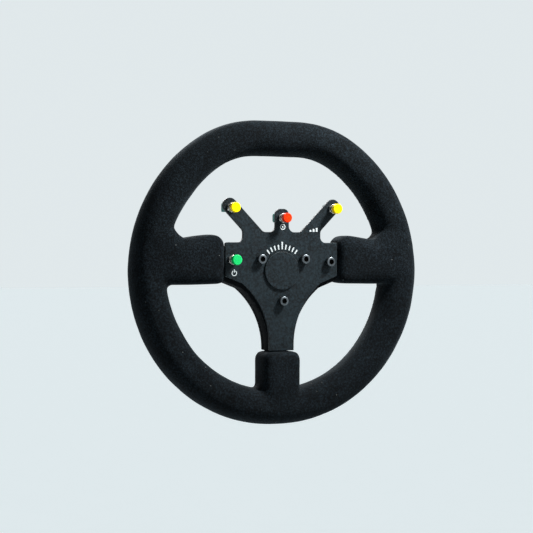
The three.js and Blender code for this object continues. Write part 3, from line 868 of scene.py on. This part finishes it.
def centre_cap():
    front, rear = ends("centre_cap")
    x, z = place_of("centre_cap")
    radius = high("centre_cap")[X] - x
    seat = PLATE_FRONT - GAP
    corners = [(0.05, front), (radius, front, 0.35), (radius, seat, 0.15)]
    corners += [(CAP_PEG, seat, 0.1), (CAP_PEG, rear, 0.4), (0.05, rear)]
    cap = turned("hub_cap", corners, PLATE_BLACK, count=CAP_POINTS, x=x, z=z)
    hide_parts("centre_cap")


# -------- printed marks

SCALE_MARKS = 9
SCALE_STEP = 9  # degrees between graduations
SCALE_HALF = 1.5  # half a graduation's width, in degrees
SCALE_INNER = 21.6
SCALE_OUTER = 26
SCALE_TOP_OUTER = 28.5  # the graduation at the top is longer
SIGN_INNER = 1.9  # inner radius of the ring signs
POWER_SIGN = (2, -12)  # from the side button
NEUTRAL_SIGN = (0.5, 42)
LEVEL_SIGN = (28, 37.8)  # lower left corner
LEVEL_HEIGHTS = (1.6, 2.6, 3.6)
LEVEL_PITCH = 3.2
BAR_ROUND = 0.15


def arc_band(inner, outer, start, end, steps=40, x=0, z=0):
    """Outline of a band round a centre, from start to end in degrees."""
    angles = [math.radians(start + (end - start) * k / steps) for k in range(steps + 1)]
    far = [(x + outer * math.cos(a), z + outer * math.sin(a)) for a in angles]
    near = [(x + inner * math.cos(a), z + inner * math.sin(a)) for a in reversed(angles)]
    return far + near


def mark(name, outline, holes=()):
    slab(name, outline, list(holes), PLATE_FRONT - 0.05, PLATE_FRONT - 0.005, 0.01, PRINT)


def scale():
    for number in range(SCALE_MARKS):
        angle = 90 + SCALE_STEP * (number - (SCALE_MARKS - 1) / 2)
        outer = SCALE_TOP_OUTER if angle == 90 else SCALE_OUTER
        mark(f"scale_{number}", arc_band(SCALE_INNER, outer, angle - SCALE_HALF, angle + SCALE_HALF, 4))


def signs():
    """A small plain sign by each of three buttons."""
    button_x, button_z = place_of("side_button_cap")
    x = button_x + POWER_SIGN[0]
    z = button_z + POWER_SIGN[1]
    mark("power_ring", arc_band(SIGN_INNER, 2.6, 120, 420, x=x, z=z))
    mark("power_bar", rectangle(x - 0.4, x + 0.4, z + 0.6, z + 3.4, BAR_ROUND))
    mark("neutral_ring", circle(*NEUTRAL_SIGN, 2.7), [circle(*NEUTRAL_SIGN, SIGN_INNER)])
    mark("neutral_dot", circle(*NEUTRAL_SIGN, 0.75, 24))
    left, bottom = LEVEL_SIGN
    for number, height in enumerate(LEVEL_HEIGHTS):
        start = left + LEVEL_PITCH * number
        mark(f"level_bar_{number}", rectangle(start, start + 1.9, bottom, bottom + height, BAR_ROUND))


# -------- screws

SCREW_HEAD = 4.25
SCREW_SHANK = 2.4
SCREW_POINTS = 120
HEX_KEY = 2.0  # half the width across the flats of a screw's socket
SOCKET_DEPTH = 2.9
KNURLS = 40
KNURL_HALF = 0.07  # half of a groove's depth


def cap_screw(node):
    """Socket-head cap screw with a knurled head and a hexagon socket."""
    x, z = place_of(node)
    front, rear = ends(node)
    seat = PLATE_FRONT - GAP

    def knurled(angle):
        return SCREW_HEAD - KNURL_HALF + KNURL_HALF * math.cos(KNURLS * angle)

    rings = [
        (TIP, front + SOCKET_DEPTH),
        (hexagon(HEX_KEY), front + SOCKET_DEPTH - 0.3),
        (hexagon(HEX_KEY), front + 0.25),
        (HEX_KEY + 0.42, front),
        (SCREW_HEAD - 0.75, front),
        (SCREW_HEAD - 0.42, front + 0.05),
        (SCREW_HEAD - 0.18, front + 0.2),
        (SCREW_HEAD - 0.08, front + 0.45),
        (knurled, front + 0.7),
        (knurled, seat - 0.5),
        (SCREW_HEAD - 0.1, seat - 0.3),
        (SCREW_HEAD - 0.3, seat),
        (SCREW_SHANK, seat),
        (SCREW_SHANK, rear - 0.5),
        (SCREW_SHANK - 0.5, rear),
        (TIP, rear),
    ]
    mesh = turned_mesh(f"{node}_screw", rings, SCREW_POINTS, x, z)
    mark_recess(mesh, x, z, HEX_KEY + 0.4, front + SOCKET_DEPTH + 0.1)
    screw = finish_mesh(f"{node}_screw", mesh, SCREW_BLACK, sharp=28)
    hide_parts(node)


# -------- push buttons

BUTTON_RADII = {"yellow": 4.6, "orange": 4.4, "green": 4.6}
BUTTON_SOCKET = 2.3  # radius of the recess in a cap, where its rod ends
BUTTON_SOCKET_DEPTH = 2.4
ROD_RADIUS = 2
ROD_FLANGE = 2.75
ROD_TAIL = 1.4
BUSHING_BORE = 2.35
BUSHING_THREAD = 3.0
BUSHING_SHOULDER = 3.6
THREAD_PITCH = 0.5
THREAD_DEPTH = 0.16
NUT_BORE = 3.25
NUT_HALF = 4.0  # half the width across the flats
CASE_DEPTH = 8.7
CASE_BORE = 3.1
CASE_ROUND = 0.6
BASE_DEPTH = 2.2
BASE_INSET = 0.8
LUG_PLACE = 2.5
LUG_HALF = 0.4


def thread_rings(radius, front, rear):
    turns = max(1, round((rear - front) / THREAD_PITCH))
    step = (rear - front) / turns
    rings = []
    for k in range(turns):
        rings += [(radius - THREAD_DEPTH, front + step * k), (radius, front + step * (k + 0.5))]
    return rings + [(radius - THREAD_DEPTH, rear)]


def button_cap(name, colour, x, z):
    front, rear = ends(f"{name}_button_cap")
    radius = BUTTON_RADII[colour]
    corners = [
        (TIP, front + 0.12),
        (radius - 1.6, front + 0.08, 0.5),
        (radius - 0.9, front, 0.5),
        (radius, front, 0.65),
        (radius, rear, 0.25),
        (BUTTON_SOCKET, rear, 0.1),
        (BUTTON_SOCKET, rear - BUTTON_SOCKET_DEPTH, 0.1),
        (TIP, rear - BUTTON_SOCKET_DEPTH),
    ]
    cap = turned(f"{name}_cap", corners, BUTTON_PLASTICS[colour], f"{name}_button", x=x, z=z)
    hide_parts(f"{name}_button_cap")


def button_rod(name, x, z):
    """A rod whose flange stops it behind the plate."""
    front, rear = ends(f"{name}_plunger")
    flange = PLATE_REAR + GAP
    corners = [(TIP, front), (ROD_RADIUS, front, 0.2), (ROD_RADIUS, flange, 0.1)]
    corners += [(ROD_FLANGE, flange, 0.1), (ROD_FLANGE, flange + 1, 0.1)]
    corners += [(ROD_TAIL, flange + 1, 0.1), (ROD_TAIL, rear, 0.2), (TIP, rear)]
    rod = turned(f"{name}_rod", corners, NICKEL, f"{name}_button", count=40, x=x, z=z)
    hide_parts(f"{name}_plunger")


def switch_bushing(name, x, z):
    front = low(f"{name}_bushing")[Y]
    shoulder = front + 1.7
    rings = [
        (BUSHING_BORE, front + 0.15),
        (BUSHING_BORE + 0.15, front),
        (BUSHING_SHOULDER - 0.25, front),
        (BUSHING_SHOULDER, front + 0.25),
        (BUSHING_SHOULDER, shoulder),
        *thread_rings(BUSHING_THREAD, shoulder + 0.05, PLATE_REAR),
        (BUSHING_BORE, PLATE_REAR),
    ]
    mesh = turned_mesh(f"{name}_sleeve", rings, 48, x, z, loop=True)
    sleeve = finish_mesh(f"{name}_sleeve", mesh, NICKEL)
    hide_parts(f"{name}_bushing")


def switch_nut(name, x, z):
    front = low(f"{name}_nut")[Y]
    seat = PLATE_FRONT - 0.02
    rings = [
        (NUT_BORE, front + 0.15),
        (NUT_BORE + 0.15, front),
        (NUT_HALF - 0.1, front),
        (hexagon(NUT_HALF, 4.15), front + 0.12),
        (hexagon(NUT_HALF, 4.42), front + 0.35),
        (hexagon(NUT_HALF, 4.6), front + 0.6),
        (hexagon(NUT_HALF, 4.6), seat - 0.2),
        (hexagon(NUT_HALF, 4.3), seat),
        (NUT_BORE, seat),
    ]
    mesh = turned_mesh(f"{name}_hex", rings, 72, x, z, loop=True)
    nut = finish_mesh(f"{name}_hex", mesh, NICKEL, sharp=25)
    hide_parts(f"{name}_nut")


def switch_case(name, x, z):
    """The case behind the plate, its base and two terminals."""
    left, front, bottom = low(f"{name}_switch_body")
    right, rear, top = high(f"{name}_switch_body")
    case_rear = front + CASE_DEPTH
    parting = case_rear - BASE_DEPTH
    outline = rectangle(left, right, bottom, top, CASE_ROUND)
    case = slab(f"{name}_case", outline, [circle(x, z, CASE_BORE)], front, parting, 0.3, TEAL)
    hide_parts(f"{name}_switch_body")
    sides = (left + BASE_INSET, right - BASE_INSET, bottom + BASE_INSET, top - BASE_INSET)
    slab(f"{name}_base", rectangle(*sides, CASE_ROUND), [], parting + 0.05, case_rear, 0.25, INSERT)
    for letter, place in (("a", x - LUG_PLACE), ("b", x + LUG_PLACE)):
        lug = rectangle(place - LUG_HALF, place + LUG_HALF, z - 1, z + 1, 0.2)
        slab(f"{name}_lug_{letter}", lug, [], case_rear + 0.02, rear, 0.1, GOLD)


def push_button(name, colour):
    """One switch. Its cap and rod travel, and its bushing, nut and case don't."""
    x, z = place_of(f"{name}_button_cap")
    button_cap(name, colour, x, z)
    button_rod(name, x, z)
    switch_bushing(name, x, z)
    switch_nut(name, x, z)
    switch_case(name, x, z)


# -------- quick-release hub

FLANGE_THICK = 5
BARREL_BORE = 12.2
BARREL_RADIUS = 15.5
RING_GROOVE = 14.4  # radius at the bottom of the snap ring's groove
GROOVE_FRONT = -2.5
GROOVE_REAR = -0.9
BALL_RADIUS = 3.0
BALL_HOLE = 3.2
COLLAR_RADIUS = 20.3
COLLAR_POCKET = 18.5  # radius of the space for the coil
COLLAR_POCKET_END = -14
COLLAR_BORE = 15.8
COLLAR_BORE_END = -11.3  # where the ramp that frees the balls starts
COLLAR_MOUTH = 18.15
COLLAR_POINTS = 576
COLLAR_RIDGES = 96
RIDGE_HALF = 0.12  # half of a ridge's height
FLUTES = 12
FLUTE_DEPTH = 0.95
FLUTE_WIDTH = 0.075  # in radians, from its middle to where it is about a third as deep
SPLINES = 16
SPLINE_TIP = 9.6
SPLINE_ROOT = 10.8
# a tooth's corners, as radius and share of the way to the next tooth
SPLINE_TOOTH = ((SPLINE_TIP, 0.04), (SPLINE_TIP, 0.31), (SPLINE_ROOT, 0.46), (SPLINE_ROOT, 0.89))
SLEEVE_RADIUS = 11.9
SNAP_RING_INNER = 14.75
SNAP_RING_MOUTH = math.degrees(0.35)  # half of the opening
EAR_PLACE = (16.9, 0.5)  # distance from the axis, and turn in radians
EAR_HOLE = 0.8
PIN_RADIUS = 0.8
PIN_FOOT = 1.05


def flange():
    front = low("hub_flange")[Y]
    outer = circle(0, 0, high("hub_flange")[X], 160)
    holes = bolt_holes() + [circle(0, 0, BARREL_BORE)]
    disc = slab("hub_flange_disc", outer, holes, front, front + FLANGE_THICK, 0.7, ALUMINIUM)
    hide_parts("hub_flange")


def drill_for(ball):
    """A cylinder across the barrel's wall, where a ball goes through it."""
    centre = middle(f"lock_ball_{ball}")
    out = Vector((centre[X], 0, centre[Z])).normalized()
    drill = add_object("drill", turned_mesh("drill", [(BALL_HOLE, -5), (BALL_HOLE, 5)], 40))
    aim = Vector((0, 1, 0)).rotation_difference(out).to_matrix().to_4x4()
    drill.data.transform(Matrix.Translation(Vector(centre) * MM) @ aim)
    return drill


def barrel():
    """The barrel on the flange, with a groove for the snap ring and six ball holes."""
    front = low("hub_flange")[Y] + FLANGE_THICK
    corners = [
        (BARREL_BORE, front + 0.02),
        (BARREL_RADIUS + 1.5, front + 0.02, 0.1),
        (BARREL_RADIUS, front + 1.5, 1.0),
        (BARREL_RADIUS, GROOVE_FRONT, 0.1),
        (RING_GROOVE, GROOVE_FRONT, 0.1),
        (RING_GROOVE, GROOVE_REAR, 0.1),
        (BARREL_RADIUS, GROOVE_REAR, 0.1),
        (BARREL_RADIUS, 0, 0.3),
        (BARREL_BORE + 1, 0, 0.3),
        (BARREL_BORE, -1.2, 0.3),
    ]
    tube_wall = turned("hub_barrel", corners, STEEL, count=96, loop=True)
    for ball in BALLS:
        drill = drill_for(ball)
        hole = tube_wall.modifiers.new("hole", "BOOLEAN")
        hole.operation = "DIFFERENCE"
        hole.object = drill
        bake(tube_wall)
        bpy.data.objects.remove(drill)
    tube_wall.data.set_sharp_from_angle(angle=math.radians(30))


def collar():
    """Release collar: a finger lip, straight knurling and twelve finger flutes."""
    front, rear = ends("release_collar")
    lip = high("release_collar")[X]
    pitch = 2 * math.pi / FLUTES

    def knurled(angle):
        from_flute = (angle + pitch / 2) % pitch - pitch / 2
        flute = FLUTE_DEPTH * math.exp(-(from_flute / FLUTE_WIDTH) ** 2)
        return COLLAR_RADIUS - RIDGE_HALF + RIDGE_HALF * math.cos(COLLAR_RIDGES * angle) - flute

    rings = [
        (COLLAR_POCKET, front + 0.3),
        (COLLAR_POCKET + 0.3, front),
        (lip - 0.6, front),
        (lip - 0.18, front + 0.18),
        (lip, front + 0.6),
        (lip, front + 2.4),
        (lip - 0.18, front + 2.8),
        (lip - 0.6, front + 3),
        (COLLAR_RADIUS + 0.1, front + 3.2),
        (COLLAR_RADIUS, front + 4.2),
        *[(knurled, front + 4.9 + k * (rear - front - 6) / 6) for k in range(7)],
        (COLLAR_RADIUS - 0.5, rear - 0.25),
        (COLLAR_RADIUS - 1.0, rear),
        (COLLAR_MOUTH, rear),
        (COLLAR_BORE, COLLAR_BORE_END),
        (COLLAR_BORE, COLLAR_POCKET_END),
        (COLLAR_POCKET, COLLAR_POCKET_END),
    ]
    mesh = turned_mesh("pull_collar", rings, COLLAR_POINTS, loop=True)
    piece = finish_mesh("pull_collar", mesh, COLLAR_BLACK, "collar", sharp=30)
    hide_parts("release_collar")


def splines():
    """The sleeve inside the barrel that the column's splines slide into."""
    teeth = []
    for tooth in range(SPLINES):
        for radius, share in SPLINE_TOOTH:
            angle = 2 * math.pi * (tooth + share) / SPLINES
            teeth.append((radius * math.cos(angle), radius * math.sin(angle), 0.25))
    outer = circle(0, 0, SLEEVE_RADIUS, 96)
    sleeve = slab("drive_splines", outer, [rounded(teeth, step=0.1)], *ends("spline_sleeve"), 0.2, STEEL)
    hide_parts("spline_sleeve")


def snap_ring():
    """The open ring that keeps the collar on, with a plier hole in each ear."""
    outer = high("retaining_ring")[Z]
    outline = arc_band(SNAP_RING_INNER, outer, SNAP_RING_MOUTH, 360 - SNAP_RING_MOUTH, 120)
    reach, turn = EAR_PLACE
    ears = [circle(reach * math.cos(a), reach * math.sin(a), EAR_HOLE, 24) for a in (turn, -turn)]
    ring = slab("snap_ring", outline, ears, *ends("retaining_ring"), 0.12, STEEL)
    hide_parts("retaining_ring")


def balls():
    steps = 24
    for number in BALLS:
        node = f"lock_ball_{number}"
        x, y, z = middle(node)
        rings = []
        for k in range(steps + 1):
            turn = math.pi * k / steps
            rings.append((max(0.01, BALL_RADIUS * math.sin(turn)), y - BALL_RADIUS * math.cos(turn)))
        mesh = turned_mesh(f"ball_{number}_sphere", rings, 40, x, z)
        ball = finish_mesh(f"ball_{number}_sphere", mesh, STEEL, f"ball_{number}", sharp=60)
        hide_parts(node)


def connector():
    front, rear = ends("connector_insert")
    radius = high("connector_insert")[X]
    corners = [(TIP, front), (radius, front, 0.3), (radius, rear - 1, 0.2), (radius - 1.5, rear - 1, 0.2)]
    corners += [(radius - 1.5, rear, 0.4), (TIP, rear)]
    insert = turned("contact_block", corners, INSERT, count=96)
    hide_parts("connector_insert")
    for number in range(1, 7):
        node = f"contact_pin_{number}"
        x, z = place_of(node)
        tip = high(node)[Y]
        corners = [(0.01, rear + 0.02), (PIN_FOOT, rear + 0.02, 0.1), (PIN_FOOT, rear + 0.5, 0.1)]
        corners += [(PIN_RADIUS, rear + 0.6, 0.1), (PIN_RADIUS, tip, 0.5), (0.01, tip)]
        pin = turned(f"pin_{number}", corners, GOLD, count=24, x=x, z=z)
        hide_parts(node)


COIL_STEPS = 28  # points in each turn
CLOSED_END = 0.14  # share of the wire in each closed end
CLOSED_RISE = 0.12  # share of the rise that is even along the whole wire


def helix(name, node, radius, wire, turns, x=0, z=0):
    """A compression spring with closed, flattened ends, as long as its CAD node."""
    front, rear = ends(node)
    steps = turns * COIL_STEPS
    path, normals = [], []
    for i in range(steps + 1):
        share = i / steps
        angle = 2 * math.pi * turns * share
        eased = min(max((share - CLOSED_END) / (1 - 2 * CLOSED_END), 0), 1)
        rise = CLOSED_RISE * share + (1 - CLOSED_RISE) * eased
        y = front + wire + (rear - front - 2 * wire) * rise
        out = Vector((math.cos(angle), 0, math.sin(angle)))
        path.append(Vector((x + radius * out.x, y, z + radius * out.z)) * MM)
        normals.append(out)
    points, faces = [], []
    tube(points, faces, path, normals, wire, 10)
    spring = finish_mesh(name, mesh_of(name, points, faces), STEEL)
    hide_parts(node)
    return spring


def shorten(spring):
    """Gives a spring its own copy of its mesh."""
    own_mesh(spring)


def springs():
    coil = helix("return_coil", "collar_spring", radius=17, wire=0.7, turns=5)
    shorten(coil)
    for name in SWITCHES:
        node = f"{name}_return_spring"
        x, z = place_of(node)
        coil = helix(f"{name}_coil", node, radius=2.2, wire=0.28, turns=4, x=x, z=z)
        shorten(coil)


# -------- camera, lights and floor

CAMERA_PLACE = (-676.0, -1404.5, 20.4)
CAMERA_TURN = math.radians(26.06)
CAMERA_TILT = math.radians(0.55)
CAMERA_ROLL = math.radians(0.2)
CAMERA_LENS = 112.0
BRIGHT_SIDE = (0.45, 0.75, 0.48)  # the room is brighter behind and to the upper right of the wheel
# the light's strength by how far a direction faces that side
SHADE = {"From Min": -0.2, "From Max": 0.7, "To Min": 0.25, "To Max": 1.0}
# each lamp's name, place, width, power in watts and colour
LAMPS = [
    ("key", (350, -420, 620), 150, 2.6, (1.0, 0.99, 0.97)),
    ("front", (750, -1600, 550), 500, 0.15, (0.92, 0.97, 1.0)),
    ("rear", (200, 1500, 700), 800, 3, (1, 1, 1)),
]
LAMP_BEAM = 60  # degrees
FLOOR_DROP = 600  # below the rim
FLOOR_HALF = 30000


def camera():
    data = bpy.data.cameras.new("camera")
    data.lens = CAMERA_LENS
    data.sensor_width = 36
    data.clip_end = 50
    holder = add_object("camera", data)
    level = math.cos(CAMERA_TILT)
    aim = Vector((math.sin(CAMERA_TURN) * level, math.cos(CAMERA_TURN) * level, -math.sin(CAMERA_TILT)))
    turn = aim.to_track_quat("-Z", "Y") @ Quaternion((0, 0, 1), CAMERA_ROLL)
    holder.matrix_world = Matrix.Translation(Vector(CAMERA_PLACE) * MM) @ turn.to_matrix().to_4x4()
    bpy.context.scene.camera = holder


def soft_box(name, place, width, power, colour):
    """A square lamp aimed at the wheel."""
    data = bpy.data.lights.new(name, "AREA")
    data.shape = "SQUARE"
    data.size = width * MM
    data.energy = power
    data.spread = math.radians(LAMP_BEAM)
    data.color = colour
    holder = add_object(name, data)
    aim = Vector(place).to_track_quat("Z", "Y")
    holder.matrix_world = Matrix.Translation(Vector(place) * MM) @ aim.to_matrix().to_4x4()


def room():
    """Pale light all round, brighter from one side."""
    world = bpy.data.worlds.new("studio")
    bpy.context.scene.world = world
    world.use_nodes = True
    tree = world.node_tree
    sky = tree.nodes["Background"]
    sky.inputs["Color"].default_value = (0.75, 0.81, 0.83, 1)
    place = tree.nodes.new("ShaderNodeTexCoord")
    facing = tree.nodes.new("ShaderNodeVectorMath")
    facing.operation = "DOT_PRODUCT"
    facing.inputs[1].default_value = BRIGHT_SIDE
    shade = tree.nodes.new("ShaderNodeMapRange")
    for key, value in SHADE.items():
        shade.inputs[key].default_value = value
    tree.links.new(place.outputs["Generated"], facing.inputs[0])
    tree.links.new(facing.outputs["Value"], shade.inputs["Value"])
    tree.links.new(shade.outputs["Result"], sky.inputs["Strength"])
    bpy.context.scene.view_settings.view_transform = "Standard"


def pale_floor():
    height = CAD_BOX[0][Z] - FLOOR_DROP * MM
    half = FLOOR_HALF * MM
    corners = [(-half, -half), (half, -half), (half, half), (-half, half)]
    mesh = bpy.data.meshes.new("floor")
    mesh.from_pydata([(x, y, height) for x, y in corners], [], [(0, 1, 2, 3)])
    nodes = Nodes("pale_floor")
    mottle = nodes.ramp(nodes.noise(14, 3), [(0.3, (0.80, 0.84, 0.85)), (0.7, (0.82, 0.86, 0.87))])
    nodes.feed("Base Color", mottle)
    nodes.set(Roughness=0.8, Emission_Color=(0.80, 0.86, 0.88, 1), Emission_Strength=0.38)
    mesh.materials.append(nodes.material)
    add_object("floor", mesh)


# -------- build

camera()
room()
for lamp in LAMPS:
    soft_box(*lamp)
pale_floor()
stitching(suede_grip())
front_plate()
housing()
spokes()
centre_cap()
scale()
signs()
for screw_node in [*HUB_BOLTS, "plate_screw"]:
    cap_screw(screw_node)
for switch_name, switch_colour in SWITCHES.items():
    push_button(switch_name, switch_colour)
flange()
barrel()
collar()
splines()
snap_ring()
balls()
connector()
springs()
